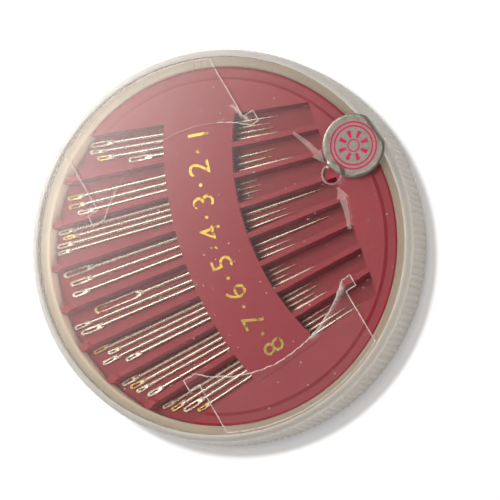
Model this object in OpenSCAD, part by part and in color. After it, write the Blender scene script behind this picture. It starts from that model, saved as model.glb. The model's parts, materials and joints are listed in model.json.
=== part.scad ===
// Round compact for hand sewing needles. An ivory dish carries a crimson moulded insert with
// eight channels, the needles lie in the channels under a bridge band, and a clear lid with a
// knurled skirt turns on the dish until its hole stands over the end of one channel.
// The needles point along +X, Z is up, and the origin is the middle of the underside.

/* [Dish] */
// Outer diameter of the dish's wall
dish_d = 64.6; // [62.6:0.2:80]
// Height of the dish's rim above the table
dish_h = 9.1; // [8.6:0.1:12]
// Thickness of the dish's wall
dish_wall = 1.6; // [1:0.1:2]
// Thickness of the dish's floor
dish_floor = 1.2; // [0.9:0.1:1.6]
// How far the dish's foot stands in under the snap step
step_in = 0.4; // [0.3:0.05:0.6]
// Height of the snap step above the table
step_z = 2.4; // [2:0.1:3]
// Width of the ring that the dish stands on
foot_w = 4; // [2:0.5:8]
// Depth of the hollow inside that ring
foot_hollow = 0.3; // [0.1:0.05:0.4]
// Diameter of the gate mark under the dish
gate_d = 2.2; // [1:0.2:4]
// Diameter of the pegs that hold the insert
peg_d = 3; // [2:0.1:3.4]
// Height of the pegs above the dish's floor
peg_h = 1.6; // [1:0.1:1.8]

/* [Insert] */
// Gap all round between the insert and the dish's wall
insert_gap = 0.3; // [0.2:0.1:1]
// How far the insert's face lies below the dish's rim
insert_drop = 0.5; // [0.3:0.1:0.8]
// Depth of the needle channels
channel_depth = 4.4; // [3.5:0.1:4.5]
// Thickness of the insert's moulded floor and roof
skin = 1; // [0.8:0.1:1.2]
// Thickness of the insert's outer wall
insert_wall = 1.2; // [0.8:0.1:1.6]
// Width of the lower ledge round the insert's face
ledge_w = 1.6; // [1:0.1:2.4]
// How far the ledge lies below the face
ledge_drop = 0.5; // [0.2:0.1:0.8]
// Width of the face beyond the closed ends of the channels
land_w = 8; // [6:0.1:9]
// Clearance between a peg and its socket, on the diameter
peg_play = 0.1; // [0.05:0.05:0.2]
// Wall of the sockets under the insert
socket_wall = 0.8; // [0.6:0.1:0.9]

/* [Ribs and band] */
// Number of ribs between the channels
rib_count = 7; // [5:2:7]
// Thickness of a rib
rib_w = 0.9; // [0.7:0.1:1]
// Angle from one rib to the next
rib_step = 3.25; // [3.2:0.05:3.4]
// Distance from the middle to the point where the ribs' lines meet
rib_meet = 98; // [96:1:104]
// Diameter of the round head on a rib's open end
rib_head_d = 1.3; // [1.1:0.1:1.6]
// Width of the bridge band at its middle
band_w = 11.8; // [8:0.2:14]
// Place of the band's left edge, left of the middle
band_left = 7.1; // [5:0.1:9]
// Radius of the band's left edge
band_left_r = 61.5; // [55:0.5:80]
// Radius of the band's right edge
band_right_r = 45; // [40:0.5:60]
// Thickness of the band
band_t = 1.2; // [0.8:0.1:1.6]
// How far the band stands above the insert's face
band_rise = 0.15; // [0.05:0.05:0.2]

/* [Lid] */
// Thickness of the lid's flat top
lid_t = 1.5; // [1:0.1:2.5]
// Running clearance between the lid's skirt and the dish, on the radius
skirt_play = 0.25; // [0.15:0.05:0.4]
// Clearance between the lid's top and the dish's rim
rim_play = 0.15; // [0.1:0.05:0.3]
// Thickness of the skirt under the knurl
skirt_wall = 0.55; // [0.5:0.05:1]
// Height of the skirt's lower edge above the table
skirt_lift = 0.5; // [0.3:0.1:0.8]
// Thickness of the knurled band on the skirt
knurl_t = 0.4; // [0.35:0.05:0.8]
// Depth of the knurl's grooves
knurl_depth = 0.25; // [0.1:0.05:0.3]
// Number of ridges in the knurl
knurl_count = 180; // [120:10:200]
// Rounding of the lid's top edge
shoulder = 1.2; // [0.6:0.1:1.4]
// How far the smooth shoulder stands inside the ridges
shoulder_in = 0.1; // [0.05:0.05:0.2]
// How far the retaining bead reaches under the snap step
bead_grip = 0.2; // [0.15:0.05:0.25]
// Height of the bead's flat face
bead_h = 0.4; // [0.3:0.1:0.6]

/* [Marks on the lid] */
// Diameter of the dispensing hole
hole_d = 3; // [2:0.1:3.2]
// How far the hole's middle passes the closed ends of the channels
hole_past = 0.3; // [-2:0.1:0.8]
// Angle of the dispensing hole from the needles' direction
hole_turn = 10.5; // [0:0.5:13]
// Width of the raised collar round the hole
collar_w = 0.35; // [0.25:0.05:0.6]
// Height of the raised marks
mark_h = 0.15; // [0.1:0.05:0.3]
// Angle from the hole to an arrow's point
arrow_gap = 6; // [5.5:0.5:8]
// Angle that an arrow spans
arrow_span = 19; // [12:1:24]
// Width of an arrow's tail
arrow_tail_w = 0.5; // [0.3:0.1:0.8]
// Width of an arrow's body where its head begins
arrow_body_w = 1.1; // [0.6:0.1:1.4]
// Width of an arrow's head
arrow_head_w = 2; // [1.5:0.1:2.4]
// Share of the arrow's span that its head takes
arrow_head_share = 0.28; // [0.2:0.02:0.4]

/* [Foil seal] */
// Diameter of the seal
seal_d = 10.8; // [8:0.2:13]
// Distance from the lid's outer edge to the seal's middle
seal_in = 5; // [4.5:0.1:6.5]
// Angle of the seal from the needles' direction
seal_turn = 14.9; // [14:0.1:18]
// Thickness of the foil
foil_t = 0.12; // [0.08:0.02:0.2]
// Gap between the seal and the raised marks
seal_gap = 0.05; // [0.02:0.01:0.1]

/* [Tape remnants] */
// Width of the clear tape
tape_w = 30; // [20:1:36]
// Thickness of the tape
tape_t = 0.08; // [0.06:0.01:0.12]
// How far the tape's middle line lies from the middle
tape_shift = -0.3; // [-2:0.1:2]
// Angle of the tape's length from the Y axis
tape_turn = 10.8; // [0:0.2:20]
// Radius of the torn-out middle
tear_r = 21.5; // [18:0.5:24]
// How far the torn-out circle's centre lies down the tape
tear_shift = -0.9; // [-2:0.1:2]
// Width of the torn tabs at the tape's corners
tab_w = 2; // [1:0.1:3]
// Length of those tabs
tab_l = 2.2; // [1:0.1:3]
// Glue under the seal and the tape
glue_t = 0.02; // [0.01:0.01:0.04]

/* [Needles] */
// Play between a needle and the channel's floor
needle_lift = 0.05; // [0.03:0.01:0.1]
// Length of a needle's tapered point
point_l = 9; // [5:0.5:12]
// Length over which the eye narrows to the shaft
neck_l = 1.2; // [0.8:0.1:2]
// Share of the shaft's thickness that is left at the flattened eye
eye_flat = 0.8; // [0.6:0.05:0.9]
// Material left on each side of the eye
eye_side = 0.25; // [0.15:0.01:0.28]
// Material left at the eye's end
eye_end = 0.4; // [0.3:0.05:0.5]
// Shaft, eye length and eye width of a sharp
sharp = [0.7, 2, 0.8];
// Shaft, eye length and eye width of a fine sharp
fine = [0.6, 1.6, 0.72];
// Shaft, eye length and eye width of an embroidery needle
crewel = [0.72, 3, 0.9];
// Shaft, eye length and eye width of a darner
darner = [0.8, 4.4, 1];
// Shaft, eye length and eye width of a big-eye needle
big_eye = [0.75, 8, 1.3];

/* [Hidden] */
$fn = 96;
// How far one solid of a node reaches into the next
overlap = 0.2;
// Width of the small chamfers
edge = 0.3;
// Steps in a rounding or a curved edge
arc_steps = 6;
// Steps in the taper of a needle's point
taper_steps = 4;

// Each needle: gap from its eye's end to the dish's wall, gap from its point to the channel's
// closed end, offset of its eye and of its point from the middle line of the channel, and
// kind. One list for each channel.
NEEDLES = [
    [
        [0.3, 6.4, 2.2, 1.4, crewel],
        [0.9, 8, 1, 0.45, fine],
        [2.6, 7.6, -0.3, -0.4, sharp],
        [7.3, 7.2, -1.5, -1.3, crewel],
    ],
    [
        [0.8, 8.5, 0.8, 0.8, sharp],
        [1.4, 9.3, -0.7, -0.3, sharp],
        [3.2, 6.1, -2, -1.25, sharp],
    ],
    [
        [0.3, 12.8, 2.5, 1.45, sharp],
        [1.2, 13, 1.4, 0.5, fine],
        [0.3, 13.4, 0.3, -0.35, sharp],
        [0.3, 14.5, -0.8, -1.25, fine],
    ],
    [
        [1.2, 3.4, 2.4, 1.2, darner],
        [2.1, 10.2, 0.6, 0.2, crewel],
        [2.1, 9.9, -1.3, -0.8, sharp],
    ],
    [
        [4.9, 3.6, 1.9, 0.9, big_eye],
        [0.4, 11.5, 0.5, -0.15, sharp],
        [1, 10.8, -0.8, -1.15, crewel],
    ],
    [
        [1.1, 13.9, 2.5, 1.5, sharp],
        [2.9, 11.7, 1.3, 0.6, fine],
        [1.2, 13.5, 0.1, -0.3, sharp],
        [4.5, 8.6, -1.1, -1.2, sharp],
    ],
    [
        [1, 10.7, 2.4, 1.5, sharp],
        [1.4, 9.1, 1.2, 0.6, sharp],
        [1.5, 10.3, 0.1, -0.3, fine],
        [2, 7.7, -1.4, -1.2, sharp],
    ],
    [
        [1.2, 8.1, 2.2, 1.4, fine],
        [1.4, 8.3, 1.05, 0.5, sharp],
        [1.9, 5.9, -0.2, -0.45, crewel],
        [2.5, 3.2, -1.5, -1.3, fine],
    ],
];

// Places of the pegs, under the insert's face and under its channels
FACE_PEGS = [[8, 25], [8, -25], [26.4, 0]];
FLOOR_PEGS = [[-20, 0]];

dish_r = dish_d / 2;
dish_in_r = dish_r - dish_wall;
dish_foot_r = dish_r - step_in;

insert_r = dish_in_r - insert_gap;
insert_z = dish_floor;
face_z = dish_h - insert_drop;
channel_z = face_z - channel_depth;
end_x = insert_r - land_w;
hole_r = end_x + hole_past;
hollow_r = insert_r - insert_wall;
roof_z = face_z - ledge_drop - skin;
channel_count = rib_count + 1;
channel_reach = rib_meet + 2 * insert_r;
wedge_turn = channel_count / 2 * rib_step;

skirt_in_r = dish_r + skirt_play;
skirt_out_r = skirt_in_r + skirt_wall;
lid_r = skirt_out_r + knurl_t;
lid_under = dish_h + rim_play;
lid_top = lid_under + lid_t;
shoulder_r = lid_r - shoulder_in;
knurl_top = lid_top - shoulder - edge;
bead_r = dish_foot_r + step_in - bead_grip;
bead_z = skirt_lift + edge;
flat_r = shoulder_r - shoulder;
lid_chamfer = shoulder / 3;
seal_r = lid_r - seal_in;
hole_at = polar(hole_r, hole_turn);

function needle_name(c, i) = str("needle_", c, "_", i);

function polar(r, a) = [r * cos(a), r * sin(a)];

function arc(x, y, r, from, to) =
    [for (k = [0:arc_steps]) [x, y] + polar(r, from + (to - from) * k / arc_steps)];

// A point at the distance s from where the ribs' lines meet, along the line at angle a,
// and moved by side across it
function rib_point(s, a, side) =
    [rib_meet - s * cos(a) + side * sin(a), s * sin(a) + side * cos(a)];

// A point on the same line where it crosses the plane x
function rib_point_at(x, a, side) =
    rib_point((rib_meet + side * sin(a) - x) / cos(a), a, side);

// Angle of a channel's middle line, counted from the top channel
function channel_turn(c) = ((channel_count + 1) / 2 - c) * rib_step;

// Plan of the whole field of channels, grown by grow on its closed sides
function wedge(grow) = [
    rib_point_at(end_x + grow, wedge_turn, grow),
    rib_point(channel_reach, wedge_turn, grow),
    rib_point(channel_reach, -wedge_turn, -grow),
    rib_point_at(end_x + grow, -wedge_turn, -grow),
];

// Half of a rib's thickness, or nothing where a channel borders on the insert's face
function rib_side(k) = k == 0 || k == channel_count ? 0 : rib_w / 2;

function channel_plan(c) =
    let (high = channel_turn(c) + rib_step / 2, low = channel_turn(c) - rib_step / 2)
    [
        rib_point_at(end_x, high, -rib_side(c - 1)),
        rib_point(channel_reach, high, -rib_side(c - 1)),
        rib_point(channel_reach, low, rib_side(c)),
        rib_point_at(end_x, low, rib_side(c)),
    ];

module dish() {
    color("#d7cbb8") {
        rotate_extrude()
            polygon([
                [0, foot_hollow],
                [dish_foot_r - foot_w - edge, foot_hollow],
                [dish_foot_r - foot_w, 0],
                [dish_foot_r - edge, 0],
                [dish_foot_r, edge],
                [dish_foot_r, step_z],
                [dish_r, step_z + overlap],
                [dish_r, dish_h - edge],
                [dish_r - edge, dish_h],
                [dish_in_r + edge, dish_h],
                [dish_in_r, dish_h - edge],
                [dish_in_r, dish_floor],
                [0, dish_floor],
            ]);
        for (p = concat(FACE_PEGS, FLOOR_PEGS))
            translate([p.x, p.y, dish_floor - overlap])
                cylinder(d = peg_d, h = peg_h + overlap);
        translate([0, 0, foot_hollow / 2])
            cylinder(d = gate_d, h = foot_hollow);
    }
}

// The insert's outer form before its channels are cut
module insert_blank() {
    rotate_extrude()
        polygon([
            [0, insert_z],
            [insert_r - edge, insert_z],
            [insert_r, insert_z + edge],
            [insert_r, face_z - ledge_drop - edge],
            [insert_r - edge, face_z - ledge_drop],
            [insert_r - ledge_w, face_z - ledge_drop],
            [insert_r - ledge_w - ledge_drop, face_z],
            [0, face_z],
        ]);
}

module insert_hollow() {
    translate([0, 0, insert_z - overlap])
        cylinder(r = hollow_r, h = channel_z - skin - insert_z + overlap);
    translate([0, 0, insert_z - overlap])
        difference() {
            cylinder(r = hollow_r, h = roof_z - insert_z + overlap);
            translate([0, 0, -overlap])
                linear_extrude(height = face_z)
                    polygon(wedge(insert_wall));
        }
}

// Bridge band over the needles, one moulding with the face on both sides
module band() {
    translate([0, 0, face_z + band_rise - band_t])
        linear_extrude(height = band_t)
            intersection() {
                difference() {
                    translate([band_left_r - band_left, 0])
                        circle(r = band_left_r);
                    translate([band_w - band_left + band_right_r, 0])
                        circle(r = band_right_r);
                }
                polygon(wedge(rib_w));
            }
}

module sockets(points, top) {
    for (p = points)
        translate([p.x, p.y, insert_z])
            cylinder(d = peg_d + peg_play + 2 * socket_wall, h = top - insert_z);
}

module insert() {
    color("#8f4048")
        difference() {
            union() {
                difference() {
                    insert_blank();
                    for (c = [1:channel_count])
                        translate([0, 0, channel_z])
                            linear_extrude(height = face_z)
                                polygon(channel_plan(c));
                    insert_hollow();
                }
                for (k = [1:rib_count])
                    rib_head(wedge_turn - k * rib_step);
                band();
                sockets(FACE_PEGS, roof_z + overlap);
                sockets(FLOOR_PEGS, channel_z - overlap);
            }
            for (p = concat(FACE_PEGS, FLOOR_PEGS))
                translate([p.x, p.y, insert_z - overlap])
                    cylinder(d = peg_d + peg_play, h = peg_h + 2 * overlap);
        }
}

// Round head on the open end of the rib at angle a
module rib_head(a) {
    head_r = insert_r - rib_head_d / 2 - overlap / 2;
    reach = rib_meet * cos(a) + sqrt(pow(head_r, 2) - pow(rib_meet * sin(a), 2));
    translate(concat(rib_point(reach, a, 0), [channel_z - overlap]))
        cylinder(d = rib_head_d, h = channel_depth - ledge_drop + overlap);
}

// Half section of the lid: flat top, rounded shoulder, skirt and retaining bead
module lid_section() {
    polygon(concat(
        [
            [0, lid_under],
            [skirt_in_r - lid_chamfer, lid_under],
            [skirt_in_r, lid_under - lid_chamfer],
            [skirt_in_r, bead_z + 2 * bead_h],
            [bead_r, bead_z + 1.5 * bead_h],
            [bead_r, bead_z + bead_h / 2],
            [skirt_in_r, bead_z],
            [skirt_in_r, skirt_lift],
            [skirt_out_r, skirt_lift],
            [skirt_out_r, knurl_top],
            [shoulder_r, knurl_top],
        ],
        arc(flat_r, lid_top - shoulder, shoulder, 0, 90),
        [[0, lid_top]]
    ));
}

module knurl() {
    translate([0, 0, skirt_lift])
        linear_extrude(height = knurl_top - skirt_lift)
            difference() {
                polygon([for (k = [0:2 * knurl_count - 1])
                    polar(lid_r - (k % 2) * knurl_depth, k * 180 / knurl_count)]);
                circle(r = skirt_out_r - overlap / 2);
            }
}

// Plan of a curved arrow whose point stands at the angle tip, growing away from the hole by way
function arrow_plan(tip, way) =
    let (
        tail = tip + way * arrow_span,
        neck = tip + way * arrow_span * arrow_head_share,
        turn = [for (k = [0:arc_steps]) tail + (neck - tail) * k / arc_steps],
        half = [for (k = [0:arc_steps])
            (arrow_tail_w + (arrow_body_w - arrow_tail_w) * k / arc_steps) / 2]
    )
    concat(
        [for (k = [0:arc_steps]) polar(hole_r + half[k], turn[k])],
        [
            polar(hole_r + arrow_head_w / 2, neck),
            polar(hole_r, tip),
            polar(hole_r - arrow_head_w / 2, neck),
        ],
        [for (k = [arc_steps:-1:0]) polar(hole_r - half[k], turn[k])]
    );

module lid() {
    color([0.93, 0.92, 0.9, 0.35])
        difference() {
            union() {
                rotate_extrude()
                    lid_section();
                knurl();
                translate([hole_at.x, hole_at.y, lid_top - overlap])
                    cylinder(d = hole_d + 2 * collar_w, h = mark_h + overlap);
                for (way = [-1, 1])
                    translate([0, 0, lid_top - overlap])
                        linear_extrude(height = mark_h + overlap)
                            polygon(arrow_plan(hole_turn + way * arrow_gap, way));
            }
            translate([hole_at.x, hole_at.y, lid_under - overlap])
                cylinder(d = hole_d, h = lid_t + mark_h + 2 * overlap);
        }
}

// Half section of a skin of thickness t on the lid's top and shoulder, over the glue
module skin_section(t) {
    low = lid_top - shoulder;
    polygon(concat(
        [[0, lid_top + glue_t]],
        arc(flat_r, low, shoulder + glue_t, 90, 0),
        arc(flat_r, low, shoulder + glue_t + t, 0, 90),
        [[0, lid_top + glue_t + t]]
    ));
}

// The seal leaves room for the hole's collar and for the arrow that it reaches
module foil_seal() {
    place = polar(seal_r, seal_turn);
    color("#8c8278")
        difference() {
            intersection() {
                rotate_extrude()
                    skin_section(foil_t);
                translate([place.x, place.y, lid_top - shoulder])
                    cylinder(d = seal_d, h = 2 * shoulder);
            }
            translate([hole_at.x, hole_at.y, lid_top])
                cylinder(d = hole_d + 2 * (collar_w + seal_gap), h = shoulder);
            translate([0, 0, lid_top])
                linear_extrude(height = shoulder)
                    polygon(arrow_plan(hole_turn + arrow_gap, 1));
        }
}

// One end of the tape: way is 1 for the upper end and -1 for the lower one
module tape_end(way) {
    tab_z = sqrt(pow(tear_r, 2) - pow(tape_w / 2, 2));
    translate([0, 0, lid_top + glue_t])
        linear_extrude(height = tape_t)
            rotate(tape_turn)
                difference() {
                    intersection() {
                        circle(r = flat_r - edge);
                        union() {
                            translate([tape_shift - tape_w / 2, way > 0 ? 0 : -lid_r])
                                square([tape_w, lid_r]);
                            for (side = [-1, 1])
                                translate([
                                    tape_shift + side * (tape_w + tab_w) / 2 - tab_w / 2,
                                    tear_shift + way * (tab_z + tab_l / 2) - tab_l / 2,
                                ])
                                    square([tab_w, tab_l]);
                        }
                    }
                    translate([0, tear_shift])
                        circle(r = tear_r);
                }
}

module tape_upper() {
    color([0.9, 0.88, 0.84, 0.3])
        tape_end(1);
}

module tape_lower() {
    color([0.9, 0.88, 0.84, 0.3])
        tape_end(-1);
}

// Plan of an eye of the given length and width on a shaft of diameter d
module eye_plan(d, length, width) {
    slot = width - 2 * eye_side;
    difference() {
        union() {
            translate([width / 2, 0])
                circle(d = width);
            translate([width / 2, -width / 2])
                square([length - width / 2, width]);
            polygon([
                [length, width / 2],
                [length + neck_l, d / 2],
                [length + neck_l, -d / 2],
                [length, -width / 2],
            ]);
        }
        translate([eye_end + slot / 2, 0])
            circle(d = slot);
        translate([eye_end + slot / 2, -slot / 2])
            square([length - eye_end - slot, slot]);
        translate([length - slot / 2, 0])
            circle(d = slot);
    }
}

// A needle along +X with its eye's end at the origin
module needle_form(kind, length) {
    d = kind[0];
    eye_l = kind[1];
    translate([0, 0, -eye_flat * d / 2])
        linear_extrude(height = eye_flat * d)
            eye_plan(d, eye_l, kind[2]);
    rotate([0, 90, 0])
        rotate_extrude()
            polygon(concat(
                [
                    [0, eye_l + overlap],
                    [d / 3, eye_l + overlap],
                    [d / 2, eye_l + neck_l + overlap],
                ],
                [for (k = [0:taper_steps])
                    [d / 2 * (1 - pow(k / taper_steps, 2)), length - point_l * (1 - k / taper_steps)]]
            ));
}

// A needle's length is what the channel leaves between the gaps at its two ends
module needle(c, i) {
    n = NEEDLES[c - 1][i - 1];
    kind = n[4];
    turn = channel_turn(c);
    eye_r = dish_in_r - n[0];
    reach = rib_meet * cos(turn) + sqrt(pow(eye_r, 2) - pow(rib_meet * sin(turn) + n[2], 2));
    eye = rib_point(reach, turn, n[2]);
    run = rib_point_at(end_x - n[1], turn, n[3]) - eye;
    color("#c9c6be")
        translate([eye.x, eye.y, channel_z + needle_lift + kind[0] / 2])
            rotate([0, 0, atan2(run.y, run.x)])
                needle_form(kind, norm(run));
}

dish();
insert();
lid();
foil_seal();
tape_upper();
tape_lower();
for (c = [1:len(NEEDLES)])
    for (i = [1:len(NEEDLES[c - 1])])
        needle(c, i);
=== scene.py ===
import json
from math import cos, hypot, pi, radians, sin, sqrt

import bmesh
import bpy
from mathutils import Matrix, Vector, noise
from mathutils.geometry import delaunay_2d_cdt

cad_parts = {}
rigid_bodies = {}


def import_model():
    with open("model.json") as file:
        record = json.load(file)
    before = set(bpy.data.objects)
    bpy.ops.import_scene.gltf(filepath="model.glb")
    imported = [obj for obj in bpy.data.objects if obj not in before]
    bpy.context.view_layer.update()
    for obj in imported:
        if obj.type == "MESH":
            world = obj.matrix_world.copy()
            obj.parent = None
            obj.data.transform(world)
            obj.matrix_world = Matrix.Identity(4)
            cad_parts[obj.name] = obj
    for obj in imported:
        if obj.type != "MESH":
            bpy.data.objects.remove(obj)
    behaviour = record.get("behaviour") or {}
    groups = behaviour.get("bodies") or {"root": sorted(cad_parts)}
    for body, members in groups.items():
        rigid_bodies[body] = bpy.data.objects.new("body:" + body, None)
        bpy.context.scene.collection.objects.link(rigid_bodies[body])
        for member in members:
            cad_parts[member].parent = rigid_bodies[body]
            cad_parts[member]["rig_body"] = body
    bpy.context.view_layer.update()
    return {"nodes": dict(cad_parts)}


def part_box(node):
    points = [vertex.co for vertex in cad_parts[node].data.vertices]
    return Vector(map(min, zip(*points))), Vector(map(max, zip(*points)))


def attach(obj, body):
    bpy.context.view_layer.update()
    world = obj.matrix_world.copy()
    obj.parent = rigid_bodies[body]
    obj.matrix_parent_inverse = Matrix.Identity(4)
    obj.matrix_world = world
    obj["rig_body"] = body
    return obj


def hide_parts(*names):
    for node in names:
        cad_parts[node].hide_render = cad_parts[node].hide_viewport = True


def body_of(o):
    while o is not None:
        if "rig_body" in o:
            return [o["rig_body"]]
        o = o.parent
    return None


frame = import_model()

# Dish. The shallow tray that everything else sits in: ivory polystyrene, injection moulded, with
# a polished rim, a satin floor and a step under the wall that the lid's bead snaps over. It came
# out of a plain steel mould, so its edges are only just broken.

MM = 0.001


def linear(colour):
    """An sRGB colour written as six hex digits, as linear red, green, blue and alpha."""
    parts = [int(colour[k:k + 2], 16) / 255 for k in (1, 3, 5)]
    return [p / 12.92 if p <= 0.04045 else ((p + 0.055) / 1.055) ** 2.4 for p in parts] + [1]


def finish_named(name):
    """A new material with an empty node tree, and that tree."""
    made = bpy.data.materials.new(name)
    made.use_nodes = True
    made.node_tree.nodes.clear()
    return made, made.node_tree


def add(tree, kind, links=None, **settings):
    """Adds one shader node, sets its properties, and fills its inputs with values or links."""
    made = tree.nodes.new("ShaderNode" + kind)
    for key, value in settings.items():
        setattr(made, key, value)
    for key, value in (links or {}).items():
        if isinstance(value, bpy.types.NodeSocket):
            tree.links.new(value, made.inputs[key])
        else:
            made.inputs[key].default_value = value
    return made


def blend(tree, share, colour, other):
    """The output of a node that mixes two sRGB colours by a share."""
    made = add(tree, "Mix", {0: share, 6: linear(colour), 7: linear(other)}, data_type="RGBA")
    return made.outputs[2]


def dress(piece, *finishes):
    """Gives a piece these materials in place of those it has."""
    piece.data.materials.clear()
    for each in finishes:
        piece.data.materials.append(each)


def stands_for(piece, name):
    """Lets a new piece take a CAD node's place and body, and hides the node."""
    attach(piece, body_of(frame["nodes"][name])[0])
    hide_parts(name)


def new_piece(name, mesh=None):
    """An object with an empty mesh, or with what a bmesh holds, linked to the scene."""
    piece = bpy.data.objects.new(name, bpy.data.meshes.new(name))
    bpy.context.scene.collection.objects.link(piece)
    if mesh:
        for face in mesh.faces:
            face.smooth = True
        mesh.to_mesh(piece.data)
        mesh.free()
    return piece


def softened(name, width, crease=radians(25)):
    """A copy of a CAD node with its edges broken by a small radius, which stands for the node."""
    mesh = bmesh.new()
    mesh.from_mesh(frame["nodes"][name].data)
    bmesh.ops.remove_doubles(mesh, verts=mesh.verts, dist=0.002 * MM)
    bmesh.ops.dissolve_limit(mesh, angle_limit=radians(0.4), verts=mesh.verts, edges=mesh.edges)
    sharp = [e for e in mesh.edges if e.is_manifold and e.calc_face_angle(0) > crease]
    bmesh.ops.bevel(mesh, geom=sharp, offset=width, offset_type="OFFSET", segments=2, profile=0.5,
                    affect="EDGES", clamp_overlap=True, miter_outer="ARC")
    piece = new_piece(name + "_moulding", mesh)
    piece.data.set_sharp_from_angle(angle=radians(40))
    piece.modifiers.new("flat_faces_stay_flat", "WEIGHTED_NORMAL").keep_sharp = True
    stands_for(piece, name)
    return piece


def ivory_polystyrene():
    """Ivory polystyrene, moulded: a soft gloss, a little see-through, with rougher, bumped pores."""
    made, tree = finish_named("ivory polystyrene, moulded")
    place = add(tree, "TexCoord").outputs["Object"]
    cloud = add(tree, "TexNoise", {"Vector": place, "Scale": 1 / (14 * MM), "Detail": 3})
    pores = add(tree, "TexNoise", {"Vector": place, "Scale": 1 / (0.5 * MM), "Detail": 4})
    tint = blend(tree, cloud.outputs["Fac"], "#d9ccb8", "#cdbfaa")
    dull = add(tree, "MapRange", {"Value": pores.outputs["Fac"], "To Min": 0.28, "To Max": 0.46})
    bump = add(tree, "Bump", {"Height": pores.outputs["Fac"], "Strength": 0.25, "Distance": 0.02 * MM})
    shell = add(tree, "BsdfPrincipled", {
        "Base Color": tint, "Roughness": dull.outputs["Result"], "IOR": 1.59, "Specular IOR Level": 0.3,
        "Subsurface Weight": 1, "Subsurface Radius": (1, 0.9, 0.75), "Subsurface Scale": 5 * MM,
        "Normal": bump.outputs["Normal"]})
    add(tree, "OutputMaterial", {"Surface": shell.outputs["BSDF"]})
    return made


def spread(piece, low, high, above, step):
    """Moves the vertices between two radii, and above a height, outwards by a small step."""
    for vertex in piece.data.vertices:
        reach = vertex.co.xy.length
        if low < reach < high and vertex.co.z > above:
            vertex.co.xy *= (reach + step) / reach


INSERT_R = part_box("insert")[1].x
dish = softened("dish", 0.1 * MM)
dress(dish, ivory_polystyrene())
# The top of the inner wall leans in a little, since the photo shows no slit round the insert.
spread(dish, INSERT_R, INSERT_R + 0.45 * MM, 8 * MM, -0.12 * MM)

# Insert. One crimson polystyrene moulding that holds the needles: eight channels that fan out
# from the right, seven ribs with round heads, and the bridge band that keeps the needles down.
# It is pressed on the dish's four pegs, and its face has the dull skin of a spark-eroded mould.


def crimson_polystyrene():
    """Crimson polystyrene, moulded: even colour, satin skin with a fine grain."""
    made, tree = finish_named("crimson polystyrene, moulded")
    place = add(tree, "TexCoord").outputs["Object"]
    cloud = add(tree, "TexNoise", {"Vector": place, "Scale": 1 / (9 * MM), "Detail": 4})
    grain = add(tree, "TexNoise", {"Vector": place, "Scale": 1 / (0.35 * MM), "Detail": 3})
    tint = blend(tree, cloud.outputs["Fac"], "#ad3340", "#a52c40")
    dull = add(tree, "MapRange", {"Value": grain.outputs["Fac"], "To Min": 0.38, "To Max": 0.55})
    bump = add(tree, "Bump", {"Height": grain.outputs["Fac"], "Strength": 0.3, "Distance": 0.02 * MM})
    shell = add(tree, "BsdfPrincipled", {
        "Base Color": tint, "Roughness": dull.outputs["Result"], "IOR": 1.5, "Specular IOR Level": 0.2,
        "Subsurface Weight": 1, "Subsurface Radius": (1, 0.4, 0.4), "Subsurface Scale": 1.2 * MM,
        "Normal": bump.outputs["Normal"]})
    add(tree, "OutputMaterial", {"Surface": shell.outputs["BSDF"]})
    return made


insert = softened("insert", 0.12 * MM)
dress(insert, crimson_polystyrene())
# Its edge closes the rest of that slit.
spread(insert, 30.2 * MM, 1, 0, 0.15 * MM)

# Print on the band. Gold foil, hot stamped into the band's face and rubbed thin: plain numbers,
# one beside each channel, with a dot between neighbours.

RIBS_MEET = 98 * MM
CHANNEL_STEP = radians(3.25)
CHANNELS = 8
BAND_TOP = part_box("insert")[1].z
BAND_EDGES = (54.4 * MM, 61.5 * MM), (49.7 * MM, 45 * MM)
FIGURE_SIZE = 5.4 * MM
FIGURE_LEAF = 0.012 * MM
FIGURE_THINNER = 0.02 * MM


def gold_leaf():
    """Hot-stamped gold foil, rubbed off in places, and darker towards the last figures."""
    made, tree = finish_named("gold stamping foil, rubbed")
    place = add(tree, "TexCoord").outputs["Object"]
    rub = add(tree, "TexNoise", {"Vector": place, "Scale": 1 / (0.7 * MM), "Detail": 5, "Roughness": 0.65})
    along = add(tree, "SeparateXYZ", {"Vector": place})
    # The gold darkens along Y, towards the last figures.
    tone = add(tree, "MapRange", {"Value": along.outputs["Y"], "From Min": -18 * MM, "From Max": 16 * MM})
    left = add(tree, "MapRange", {"Value": rub.outputs["Fac"], "From Min": 0.4, "From Max": 0.47})
    shell = add(tree, "BsdfPrincipled", {
        "Base Color": blend(tree, tone.outputs["Result"], "#80682c", "#d4ab34"), "Metallic": 0.55,
        "Roughness": 0.42, "Alpha": left.outputs["Result"]})
    add(tree, "OutputMaterial", {"Surface": shell.outputs["BSDF"]})
    return made


def band_middle(y):
    """The X of the band's middle line at a Y: halfway between the arcs that are its two edges."""
    left, right = (middle - sqrt(radius ** 2 - y ** 2) for middle, radius in BAND_EDGES)
    return (left + right) / 2


figures = bmesh.new()
for step in range(2 * CHANNELS - 1):
    turn = (CHANNELS - 1) * CHANNEL_STEP / 2 - step * CHANNEL_STEP / 2
    y = RIBS_MEET * sin(turn)
    x = band_middle(y)
    text = bpy.data.curves.new("figure", "FONT")
    text.body = "." if step % 2 else str(step // 2 + 1)
    text.size, text.extrude, text.offset = FIGURE_SIZE, FIGURE_LEAF, -FIGURE_THINNER
    text.align_x, text.align_y = "CENTER", "CENTER"
    glyph = bpy.data.objects.new("figure", text)
    leaf = bpy.data.meshes.new_from_object(glyph)
    middle = sum((Vector(c) for c in glyph.bound_box), Vector()) / 8
    leaf.transform(Matrix.Translation((x, y, BAND_TOP + FIGURE_LEAF)) @ Matrix.Rotation(pi / 2 - turn, 4, "Z")
                   @ Matrix.Translation((-middle.x, -middle.y, 0)))
    figures.from_mesh(leaf)
    bpy.data.objects.remove(glyph)
for each in figures.faces:
    each.smooth = False
print_on_band = new_piece("band_print", figures)
dress(print_on_band, gold_leaf())
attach(print_on_band, "case")
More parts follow.
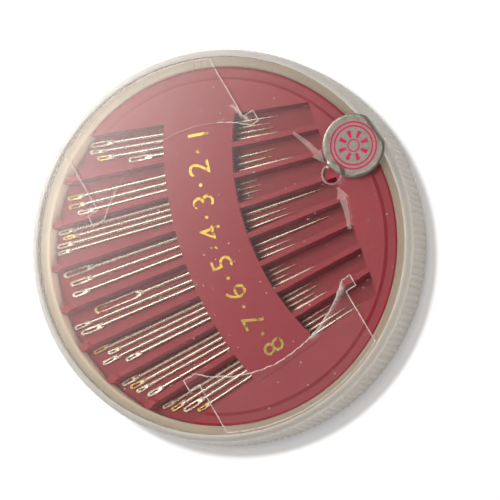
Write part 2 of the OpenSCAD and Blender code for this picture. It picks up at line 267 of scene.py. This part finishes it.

# Needles. Assorted hand needles of drawn steel wire, nickel plated and polished, with stamped
# eyes. Some have gilded eyes, and gold on their points as a painted glint. They lie loose, each on its own body.

# Needles with gilded eyes, whose points get the same gold as a painted glint of warm light.
GILDED_EYE_GLINT_POINT = ["needle_" + n for n in ("1_3", "2_1", "2_2", "3_2", "5_1", "6_1", "7_2", "8_2", "8_4")]
EYE_ROUND = 0.1 * MM
EYE_EDGE = 0.45
STEEL = "#ebe2d0"


def needle_steel(gold_eyes_and_glint):
    """Nickel plated steel wire, polished along its length; if asked, with gilded eyes and a painted gold glint on
    the points.
    """
    made, tree = finish_named("nickel plated steel, gilded eyes, painted glint on points" if gold_eyes_and_glint else "nickel plated steel, polished")
    place = add(tree, "TexCoord")
    wear = add(tree, "TexNoise", {"Vector": place.outputs["Object"], "Scale": 1 / (0.8 * MM), "Detail": 4})
    dull = add(tree, "MapRange", {"Value": wear.outputs["Fac"], "To Min": 0.26, "To Max": 0.29})
    shell = add(tree, "BsdfPrincipled", {
        "Base Color": linear(STEEL), "Metallic": 1, "Roughness": dull.outputs["Result"]})
    if gold_eyes_and_glint:
        along = add(tree, "SeparateXYZ", {"Vector": place.outputs["Generated"]})
        ends = add(tree, "Math", {0: along.outputs["X"], 1: 0.5}, operation="SUBTRACT")
        ends = add(tree, "Math", {0: ends.outputs["Value"]}, operation="ABSOLUTE")
        edge = add(tree, "MapRange", {"Value": ends.outputs["Value"], "From Min": 0.42, "From Max": 0.46})
        # Gold at both ends: gilded eyes, and on the points a painted glint of warm light.
        tree.links.new(blend(tree, edge.outputs["Result"], STEEL, "#e6cb80"), shell.inputs["Base Color"])
    add(tree, "OutputMaterial", {"Surface": shell.outputs["BSDF"]})
    return made


def pressed_needle(name):
    """A copy of a CAD needle whose flat eye is rounded off to its edges, which stands for the node."""
    mesh = bmesh.new()
    mesh.from_mesh(frame["nodes"][name].data)
    bmesh.ops.remove_doubles(mesh, verts=mesh.verts, dist=0.002 * MM)
    axis_z = (max(v.co.z for v in mesh.verts) + min(v.co.z for v in mesh.verts)) / 2
    eye_end = min(mesh.verts, key=lambda v: v.co.x)
    half = abs(eye_end.co.z - axis_z)
    flats = {f for f in mesh.faces if abs(f.normal.z) > 0.99
             and all(abs(abs(v.co.z - axis_z) - half) < 0.003 * MM for v in f.verts)}
    rims = {v for f in flats for e in f.edges if sum(n in flats for n in e.link_faces) == 1 for v in e.verts}
    bmesh.ops.inset_region(mesh, faces=list(flats), thickness=EYE_ROUND, use_boundary=True, use_even_offset=True)
    for vertex in rims:
        vertex.co.z = axis_z + (vertex.co.z - axis_z) * EYE_EDGE
    piece = new_piece(name + "_wire", mesh)
    piece.data.set_sharp_from_angle(angle=radians(50))
    stands_for(piece, name)
    return piece


plain_needle, eye_gold_point_glint_needle = needle_steel(False), needle_steel(True)
for name in [n for n in frame["nodes"] if n.startswith("needle")]:
    dress(pressed_needle(name), eye_gold_point_glint_needle if name in GILDED_EYE_GLINT_POINT else plain_needle)

# Lid. Clear polystyrene, moulded and polished: a flat disc with a rounded shoulder and a knurled
# skirt, a dispensing hole with its collar, and two raised arrows. It snaps over the dish and
# turns on it. Years in a drawer have dusted it and rubbed its knurl and shoulder milky.

LID_TOP = 10.75 * MM
SKIRT_OUT = 33.05 * MM
KNURL_TOP = 9.25 * MM
SHOULDER_IN = 32.2 * MM


def crystal_polystyrene():
    """Crystal polystyrene: clear, with a hard gloss, faint smears and specks of dust."""
    made, tree = finish_named("crystal polystyrene, polished")
    place = add(tree, "TexCoord").outputs["Object"]
    smear = add(tree, "TexNoise", {"Vector": place, "Scale": 1 / (6 * MM), "Detail": 5})
    dull = add(tree, "MapRange", {"Value": smear.outputs["Fac"], "From Min": 0.35, "From Max": 0.7,
                                  "To Min": 0, "To Max": 0.012})
    clear = add(tree, "BsdfPrincipled", {
        "Base Color": linear("#fdfcfa"), "Roughness": dull.outputs["Result"], "IOR": 1.59,
        "Transmission Weight": 1, "Coat Weight": 0.06, "Coat Roughness": 0.3})
    specks = add(tree, "TexVoronoi", {"Vector": place, "Scale": 1 / (1.6 * MM)})
    pale = add(tree, "SeparateColor", {"Color": specks.outputs["Color"]})
    pale = add(tree, "Math", {0: pale.outputs["Red"], 1: 1.5}, operation="POWER")
    dust = add(tree, "MapRange", {"Value": specks.outputs["Distance"], "From Min": 0.04, "From Max": 0.12,
                                  "To Min": 0.8, "To Max": 0})
    dust = add(tree, "Math", {0: dust.outputs["Result"], 1: pale.outputs["Value"]}, operation="MULTIPLY")
    lint = add(tree, "BsdfDiffuse", {"Color": linear("#e9e2d6")})
    dusty = add(tree, "MixShader", {"Fac": dust.outputs["Value"], 1: clear.outputs["BSDF"],
                                    2: lint.outputs["BSDF"]})
    passing = add(tree, "BsdfTransparent", {"Color": linear("#fbfaf8")})
    ray = add(tree, "LightPath")
    lamps = add(tree, "Math", {0: ray.outputs["Is Shadow Ray"], 1: ray.outputs["Is Diffuse Ray"]},
                operation="MAXIMUM")
    shell = add(tree, "MixShader", {"Fac": lamps.outputs["Value"], 1: dusty.outputs["Shader"],
                                    2: passing.outputs["BSDF"]})
    add(tree, "OutputMaterial", {"Surface": shell.outputs["Shader"]})
    return made


def rubbed_polystyrene(name, colour, milk, roughness, shade):
    """Crystal polystyrene with a rubbed or etched skin: milk is the share of light it scatters, and
    shade the colour of the light that it lets through to what lies in its shadow."""
    made, tree = finish_named(name)
    place = add(tree, "TexCoord").outputs["Object"]
    stipple = add(tree, "TexNoise", {"Vector": place, "Scale": 1 / (0.4 * MM), "Detail": 3})
    cover = add(tree, "MapRange", {"Value": stipple.outputs["Fac"], "From Min": 0.3, "From Max": 0.7,
                                   "To Min": milk - 0.12, "To Max": milk + 0.12})
    clear = add(tree, "BsdfPrincipled", {
        "Base Color": linear("#fbf9f4"), "Roughness": roughness, "IOR": 1.59, "Transmission Weight": 1})
    skin = add(tree, "BsdfPrincipled", {
        "Base Color": linear(colour), "Roughness": roughness + 0.2, "IOR": 1.59,
        "Subsurface Weight": 1, "Subsurface Radius": (1, 1, 1), "Subsurface Scale": 1 * MM})
    shell = add(tree, "MixShader", {"Fac": cover.outputs["Result"], 1: clear.outputs["BSDF"],
                                    2: skin.outputs["BSDF"]})
    passing = add(tree, "BsdfTransparent", {"Color": linear(shade)})
    ray = add(tree, "LightPath")
    lit = add(tree, "MixShader", {"Fac": ray.outputs["Is Shadow Ray"], 1: shell.outputs["Shader"],
                                  2: passing.outputs["BSDF"]})
    add(tree, "OutputMaterial", {"Surface": lit.outputs["Shader"]})
    return made


CLEAR, KNURLED, ETCHED, SHOULDER = range(4)
lid = softened("lid", 0.04 * MM)
dress(lid, crystal_polystyrene(),
      rubbed_polystyrene("crystal polystyrene, knurl rubbed milky", "#cbc3b8", 0.8, 0.4, "#77746e"),
      rubbed_polystyrene("crystal polystyrene, etched", "#e6dcd2", 0.05, 0.3, "#f0eeea"),
      rubbed_polystyrene("crystal polystyrene, shoulder rubbed", "#e2ded7", 0.6, 0.4, "#9c9a96"))
for face in lid.data.polygons:
    height, reach = face.center.z, hypot(face.center.x, face.center.y)
    outside, faces_up = reach > SKIRT_OUT, face.normal.z > 0.05
    if height > LID_TOP + 0.03 * MM:
        face.material_index = ETCHED
    elif outside and height < KNURL_TOP + 0.1 * MM:
        face.material_index = KNURLED
    elif outside or reach > SHOULDER_IN and faces_up:
        face.material_index = SHOULDER
    else:
        face.material_index = CLEAR

# Foil seal. A round of embossing foil with printed rings, stuck half over the lid's edge. It is
# pressed down over the collar of the hole on one side, and folded down the skirt on the other.

SEAL_TURN = radians(14.9)
HOLE_TURN = radians(10.5)
OUT = Vector((cos(SEAL_TURN), sin(SEAL_TURN), 0))
SEAL_AT = OUT * 28.5 * MM + Vector((0, 0, LID_TOP))
HOLE_AT = Vector((cos(HOLE_TURN), sin(HOLE_TURN), 0)) * 22.7 * MM
SEAL_R = 5.4 * MM
SAG_FROM = 4 * MM
FOLD_FROM = 4.65 * MM
COLLAR_R = 1.85 * MM
DRAPE_W = 0.45 * MM
DRAPE_H = 0.2 * MM
CRUMPLE = 0.07 * MM
FOIL = 0.05 * MM
GLUE = 0.03 * MM


def seal_point(reach, turn):
    """A point of the draped seal, seen from the seal's middle, for a point of the flat foil."""
    flat = Vector((cos(turn), sin(turn), 0)) * reach
    spot = flat + Vector((0, 0, GLUE))
    along = flat.dot(OUT)
    spot.z -= 0.25 * max(0, along - SAG_FROM) ** 2 / MM
    past = max(0, along - FOLD_FROM)
    spot -= (OUT * 0.8 + Vector((0, 0, 0.95))) * past
    near_hole = (SEAL_AT.xy + spot.xy - HOLE_AT.xy).length
    rise = min(1, max(0, (COLLAR_R + DRAPE_W - near_hole) / DRAPE_W))
    spot.z += DRAPE_H * rise ** 2 * (3 - 2 * rise)
    spot.z -= 0.35 * max(0, reach - SEAL_R + DRAPE_W) ** 2 / MM
    crumple = abs(noise.noise(flat / (1.1 * MM))) * CRUMPLE
    spot.z += crumple * min(1, max(0, reach / SEAL_R - 0.7) * 4)
    return spot


# The print, in millimetres of the flat foil
PRINTED_RINGS = (3.97, 0.13), (3.31, 0.12), (1, 0.1)
ROSETTE_IN, ROSETTE_OUT, ROSETTE_RAYS = 1.4, 2.65, 8


def printed_foil():
    """Thin aluminium foil on paper, finely brushed, printed with a rosette in two magenta rings."""
    made, tree = finish_named("aluminium foil, brushed and printed")
    flat = add(tree, "UVMap", uv_map="flat_foil")
    brush = add(tree, "Mapping", {"Vector": flat.outputs["UV"], "Rotation": (0, 0, radians(40)), "Scale": (1, 7, 1)})
    lines = add(tree, "TexNoise", {"Vector": brush.outputs["Vector"], "Scale": 1.6, "Detail": 6})
    apart = add(tree, "VectorMath", {0: flat.outputs["UV"]}, operation="LENGTH")
    parts = add(tree, "SeparateXYZ", {"Vector": flat.outputs["UV"]})
    angle = add(tree, "Math", {0: parts.outputs["Y"], 1: parts.outputs["X"]}, operation="ARCTAN2")
    rays = add(tree, "Math", {0: angle.outputs["Value"], 1: ROSETTE_RAYS}, operation="MULTIPLY")
    rays = add(tree, "Math", {0: rays.outputs["Value"]}, operation="COSINE")
    rays = add(tree, "MapRange", {"Value": rays.outputs["Value"], "From Min": 0.25, "From Max": 0.5})
    ink = rays.outputs["Result"]
    for limit, side_of in ((ROSETTE_OUT, "LESS_THAN"), (ROSETTE_IN, "GREATER_THAN")):
        zone = add(tree, "Math", {0: apart.outputs["Value"], 1: limit}, operation=side_of)
        ink = add(tree, "Math", {0: ink, 1: zone.outputs["Value"]}, operation="MULTIPLY").outputs["Value"]
    for radius, half_width in PRINTED_RINGS:
        gap = add(tree, "Math", {0: apart.outputs["Value"], 1: radius}, operation="SUBTRACT")
        gap = add(tree, "Math", {0: gap.outputs["Value"]}, operation="ABSOLUTE")
        ring = add(tree, "MapRange", {"Value": gap.outputs["Value"], "From Min": half_width,
                                      "From Max": half_width + 0.05, "To Min": 1, "To Max": 0})
        ink = add(tree, "Math", {0: ink, 1: ring.outputs["Result"]}, operation="MAXIMUM").outputs["Value"]
    foil = blend(tree, lines.outputs["Fac"], "#b3aea2", "#55524b")
    tint = add(tree, "Mix", {0: ink, 6: foil, 7: linear("#c2124f")}, data_type="RGBA")
    metal = add(tree, "MapRange", {"Value": ink, "To Min": 1, "To Max": 0.3})
    dull = add(tree, "MapRange", {"Value": lines.outputs["Fac"], "To Min": 0.3, "To Max": 0.52})
    bump = add(tree, "Bump", {"Height": lines.outputs["Fac"], "Strength": 0.35, "Distance": 0.02 * MM})
    shell = add(tree, "BsdfPrincipled", {
        "Base Color": tint.outputs[2], "Metallic": metal.outputs["Result"], "Roughness": dull.outputs["Result"],
        "Normal": bump.outputs["Normal"]})
    add(tree, "OutputMaterial", {"Surface": shell.outputs["BSDF"]})
    return made


SEAL_RINGS, SEAL_SPOKES = 40, 144
seal_mesh = bmesh.new()
flat_foil = seal_mesh.loops.layers.uv.new("flat_foil")
hub = seal_mesh.verts.new(seal_point(0, 0))
places = {hub: (0, 0)}
rows = []
for ring in range(1, SEAL_RINGS + 1):
    reach = SEAL_R * ring / SEAL_RINGS
    row = []
    for spoke in range(SEAL_SPOKES):
        turn = 2 * pi * spoke / SEAL_SPOKES
        vertex = seal_mesh.verts.new(seal_point(reach, turn))
        places[vertex] = (reach * cos(turn) / MM, reach * sin(turn) / MM)
        row.append(vertex)
    rows.append(row)
for k in range(SEAL_SPOKES):
    after = (k + 1) % SEAL_SPOKES
    seal_mesh.faces.new((hub, rows[0][k], rows[0][after]))
    for inner, outer in zip(rows, rows[1:]):
        seal_mesh.faces.new((inner[k], outer[k], outer[after], inner[after]))
for face in seal_mesh.faces:
    for loop in face.loops:
        loop[flat_foil].uv = places[loop.vert]
seal = new_piece("foil_seal_sheet", seal_mesh)
seal.location = SEAL_AT
thick = seal.modifiers.new("foil_thickness", "SOLIDIFY")
thick.thickness, thick.offset = FOIL, 1
dress(seal, printed_foil())
stands_for(seal, "foil_seal")

# Tape. What is left of a strip of clear tape after its middle was torn out: a film that shows
# only where its edges and creases are full of air, stuck to the lid's top.

TAPE_TURN = radians(10.8)
TAPE_Z = LID_TOP + GLUE
TEAR_R = 21.5 * MM
CREASE_LIFT = 0.08 * MM
EDGE_STEP = 0.3 * MM
FILL_STEP = 0.55 * MM
AIR_FROM, AIR_TO = 0.1 * MM, 0.22 * MM
INSIDE_ONLY = 1  # delaunay_2d_cdt's output type that keeps the triangles inside the outline


def clear_tape():
    """Clear tape: an almost invisible film, milky along its torn edges and in its creases."""
    made, tree = finish_named("clear polypropylene tape")
    place = add(tree, "TexCoord").outputs["Object"]
    air = add(tree, "Attribute", attribute_name="air")
    fleck = add(tree, "TexNoise", {"Vector": place, "Scale": 1 / (0.6 * MM), "Detail": 4})
    share = add(tree, "Math", {0: air.outputs["Fac"], 1: fleck.outputs["Fac"]}, operation="MULTIPLY")
    cover = add(tree, "MapRange", {"Value": share.outputs["Value"], "From Min": 0, "From Max": 0.5,
                                   "To Min": 0.03, "To Max": 0.85})
    shell = add(tree, "BsdfPrincipled", {
        "Base Color": linear("#efe3da"), "Roughness": 0.35, "IOR": 1.49, "Alpha": cover.outputs["Result"]})
    add(tree, "OutputMaterial", {"Surface": shell.outputs["BSDF"]})
    return made


def outline_of(name):
    """The top face's outline of a flat CAD node, as a closed list of points."""
    mesh = bmesh.new()
    mesh.from_mesh(frame["nodes"][name].data)
    bmesh.ops.remove_doubles(mesh, verts=mesh.verts, dist=0.002 * MM)
    bmesh.ops.delete(mesh, geom=[f for f in mesh.faces if f.normal.z < 0.9], context="FACES")
    follow = {}
    for edge in mesh.edges:
        if edge.is_boundary:
            loop = edge.link_loops[0]
            follow[loop.vert] = loop.link_loop_next.vert
    start = vertex = next(iter(follow))
    points = []
    while True:
        points.append(vertex.co.xy.copy())
        vertex = follow[vertex]
        if vertex is start:
            break
    mesh.free()
    return points


def resampled(points, step):
    """A closed line with points at most a step apart."""
    made = []
    for a, b in zip(points, points[1:] + points[:1]):
        parts = max(1, round((b - a).length / step))
        made += [a.lerp(b, k / parts) for k in range(parts)]
    return made


def streak(spot, a, b, width):
    """How much of a crease from a to b is felt at a spot, from 0 to 1."""
    line = b - a
    share = max(0, min(1, (spot - a).dot(line) / line.length_squared))
    return max(0, 1 - (spot - a - line * share).length / width)


def on_tape(across, along):
    """A spot on the lid from its place across and along the tape, in millimetres."""
    turned = Matrix.Rotation(TAPE_TURN, 2)
    return turned @ Vector((across, along)) * MM


TEAR_AT = on_tape(0, -0.9)


def edge_shows(spot):
    """How clearly the film's edge shows: the upper piece lies flat along the middle of its tear."""
    flat = (spot - on_tape(0, 22)).length < 11 * MM and (spot - TEAR_AT).length < TEAR_R + 1 * MM
    return 0.3 if flat else 1.0


def near_tear(spot):
    """How far the film's edge wanders: a torn edge more than a cut one."""
    torn = abs((spot - TEAR_AT).length - TEAR_R) < 1 * MM
    return (0.22 if torn else 0.05) * MM


def tape_film(name, *creases):
    """A sheet of film with the CAD node's outline, torn and creased."""
    torn = []
    for spot in resampled(outline_of(name), EDGE_STEP):
        shake = noise.noise_vector(Vector((spot.x, spot.y, 1)) / (0.9 * MM)).xy * near_tear(spot)
        torn.append(spot + shake)
    rim, inner = [], []
    for before, spot, after in zip(torn[-1:] + torn[:-1], torn, torn[1:] + torn[:1]):
        run = (after - before).normalized()
        rim.append(spot + Vector((-run.y, run.x)) * AIR_FROM)
        inner.append(spot + Vector((-run.y, run.x)) * AIR_TO)
    low = Vector((min(p.x for p in torn), min(p.y for p in torn)))
    high = Vector((max(p.x for p in torn), max(p.y for p in torn)))
    fill = [low + Vector((i, j)) * FILL_STEP for i in range(int((high.x - low.x) / FILL_STEP) + 1)
            for j in range(int((high.y - low.y) / FILL_STEP) + 1)]
    count = len(torn)
    ring = [(k, (k + 1) % count) for k in range(count)]
    points, _, faces, origins, _, _ = delaunay_2d_cdt(
        torn + rim + inner + fill, ring, [list(range(count))], INSIDE_ONLY, 1e-7)
    mesh = bmesh.new()
    air = mesh.verts.layers.float.new("air")
    verts = []
    for spot, came_from in zip(points, origins):
        at_edge = any(k < 2 * count for k in came_from)
        folded = max(streak(spot, *crease) for crease in creases)
        lift = CREASE_LIFT * folded + 0.01 * MM * noise.noise(Vector((spot.x, spot.y, 0)) / (2 * MM))
        vertex = mesh.verts.new((spot.x, spot.y, TAPE_Z + max(0, lift)))
        vertex[air] = max(edge_shows(spot) if at_edge else 0.0, folded * 0.9)
        verts.append(vertex)
    for face in faces:
        mesh.faces.new([verts[k] for k in face])
    piece = new_piece(name + "_film", mesh)
    dress(piece, film)
    stands_for(piece, name)
    return piece


film = clear_tape()
films = [tape_film("tape_upper", (on_tape(14, 19.3), on_tape(15.1, 15.3), 0.4 * MM)),
         tape_film("tape_lower", (on_tape(13.9, -17.3), on_tape(6, -21.5), 1.1 * MM))]

# Light, floor and camera. A pale table in daylight from the upper left, seen from almost
# straight above and a little from the lower right, as in the photograph.

FACE_Z = 8.6 * MM
VIEW_TILT = radians(16)
TOWARD = radians(-37.7)
TOWARD_IN_PICTURE = radians(-17)
DISTANCE = 1200 * MM
PIXEL = 1 / 5.9 * MM
PICTURE = 500
SENSOR = 36
FACE_AT = (223.4, 246.1)

back = Vector((sin(VIEW_TILT) * cos(TOWARD), sin(VIEW_TILT) * sin(TOWARD), cos(VIEW_TILT)))
near = Vector((cos(VIEW_TILT) * cos(TOWARD), cos(VIEW_TILT) * sin(TOWARD), -sin(VIEW_TILT)))
side = back.cross(near)
right = near * cos(TOWARD_IN_PICTURE) - side * sin(TOWARD_IN_PICTURE)
up = near * sin(TOWARD_IN_PICTURE) + side * cos(TOWARD_IN_PICTURE)
middle = Vector((0, 0, FACE_Z)) + right * (PICTURE / 2 - FACE_AT[0]) * PIXEL \
    + up * (FACE_AT[1] - PICTURE / 2) * PIXEL
camera = bpy.data.objects.new("camera", bpy.data.cameras.new("camera"))
bpy.context.scene.collection.objects.link(camera)
camera.data.sensor_width = SENSOR
camera.data.lens = SENSOR * DISTANCE / (PICTURE * PIXEL)
camera.matrix_world = Matrix.Translation(middle + back * DISTANCE) \
    @ Matrix((right, up, back)).transposed().to_4x4()
bpy.context.scene.camera = camera


def picture_direction(angle, lean):
    """A unit vector that leans from the vertical towards an angle in the picture."""
    flat = radians(angle) - TOWARD_IN_PICTURE + TOWARD
    return Vector((sin(lean) * cos(flat), sin(lean) * sin(flat), cos(lean)))


def softbox(name, angle, lean, distance, size, strength, colour, unlit=()):
    """A round area lamp that faces the object, with its strength as a white card would show it."""
    lamp = bpy.data.objects.new(name, bpy.data.lights.new(name, "AREA"))
    bpy.context.scene.collection.objects.link(lamp)
    lamp.data.shape = "DISK"
    lamp.data.size = size
    lamp.data.energy = strength * pi * pi * distance ** 2
    lamp.data.color = linear(colour)[:3]
    way = picture_direction(angle, radians(lean))
    lamp.matrix_world = Matrix.Translation(way * distance) @ way.to_track_quat("Z", "Y").to_matrix().to_4x4()
    if unlit:
        linked = bpy.data.collections.new(name + "_passes_by")
        lamp.light_linking.receiver_collection = linked
        for each in unlit:
            linked.objects.link(each)
        for member in linked.collection_objects:
            member.light_linking.link_state = "EXCLUDE"
    return lamp


def pale_table():
    """A pale painted table, which looks white to the camera where no shadow lies."""
    made, tree = finish_named("pale painted table")
    ray = add(tree, "LightPath")
    seen = add(tree, "Math", {0: ray.outputs["Is Camera Ray"], 1: ray.outputs["Is Transmission Ray"]},
               operation="MAXIMUM")
    seen = add(tree, "Math", {0: seen.outputs["Value"], 1: ray.outputs["Is Glossy Ray"]}, operation="MAXIMUM")
    lift = add(tree, "Math", {0: seen.outputs["Value"], 1: 0.1}, operation="MULTIPLY")
    paint = add(tree, "BsdfDiffuse", {"Color": linear("#fbfbfc")})
    glow = add(tree, "Emission", {"Strength": lift.outputs["Value"]})
    both = add(tree, "AddShader", {0: paint.outputs["BSDF"], 1: glow.outputs["Emission"]})
    add(tree, "OutputMaterial", {"Surface": both.outputs["Shader"]})
    return made


TABLE_HALF = 400 * MM
table = new_piece("table")
table.data.from_pydata([(x * TABLE_HALF, y * TABLE_HALF, 0) for x, y in ((-1, -1), (1, -1), (1, 1), (-1, 1))],
                       [], [(0, 1, 2, 3)])
dress(table, pale_table())

# What mirrors shows only the window, its sill and the room, so the other lamps pass it by. The
# table, the mouldings and the needles are each lit by the lamps that reach them in the photo.
mirrors = [lid, seal] + films
inside = [insert, dish, print_on_band]
needles = [o for o in bpy.data.objects if o.name.endswith("_wire")]
softbox("daylight on the table", 130, 12, 0.8, 0.08, 0.56, "#fffefc", unlit=mirrors + needles + inside)
softbox("daylight", 140, 8, 0.8, 0.35, 0.5, "#fffdfa", unlit=mirrors + [table, dish])
softbox("window sill", 150, 64, 0.8, 0.5, 1.15, "#fffdfa", unlit=needles + inside + [table])
softbox("pale wall below", 280, 55, 0.15, 0.08, 1.0, "#fff6ea", unlit=mirrors + inside + [table])
softbox("wall opposite", 5, 66, 0.8, 0.5, 0.7, "#fff8f0", unlit=mirrors + [table, insert])

# The room: even light for what is matt, and for what mirrors a bright window pane, pale walls
# and a dim ceiling. Behind the table's edge the camera sees white.
world = bpy.data.worlds.new("room")
bpy.context.scene.world = world
world.use_nodes = True
room = world.node_tree
room.nodes.clear()
ray = add(room, "LightPath")
toward = add(room, "TexCoord").outputs["Generated"]
window = picture_direction(158, radians(24.4))
facing = add(room, "VectorMath", {0: toward, 1: window}, operation="DOT_PRODUCT")
turned = add(room, "Math", {0: facing.outputs["Value"]}, operation="ARCCOSINE")
pane = add(room, "MapRange", {"Value": turned.outputs["Value"], "From Min": radians(9.8), "From Max": radians(6),
                              "To Min": 0, "To Max": 2.05})
pane = add(room, "Math", {0: pane.outputs["Result"], 1: 3}, operation="POWER")
glossy = add(room, "MapRange", {"Value": ray.outputs["Is Glossy Ray"], "To Min": 0.3, "To Max": 1})
pane = add(room, "Math", {0: pane.outputs["Value"], 1: glossy.outputs["Result"]}, operation="MULTIPLY")
height = add(room, "SeparateXYZ", {"Vector": toward})
ceiling = add(room, "MapRange", {"Value": ray.outputs["Is Glossy Ray"], "To Min": 0.9, "To Max": 0.1})
walls = add(room, "MapRange", {"Value": height.outputs["Z"], "From Min": 0.5, "From Max": 0.88,
                               "To Min": 0.95, "To Max": ceiling.outputs["Result"]})
mirrored = add(room, "Math", {0: pane.outputs["Value"], 1: walls.outputs["Result"]}, operation="ADD")
sharp = add(room, "Math", {0: ray.outputs["Is Glossy Ray"], 1: ray.outputs["Is Transmission Ray"]},
            operation="MAXIMUM")
level = add(room, "Mix", {0: sharp.outputs["Value"], 2: 0.52, 3: mirrored.outputs["Value"]})
level = add(room, "Mix", {0: ray.outputs["Is Camera Ray"], 2: level.outputs[0], 3: 1.08})
tone = blend(room, sharp.outputs["Value"], "#f9f9fa", "#fcf5f2")
air = add(room, "Background", {"Color": tone, "Strength": level.outputs[0]})
add(room, "OutputWorld", {"Surface": air.outputs["Background"]})

bpy.context.scene.view_settings.view_transform = "Standard"
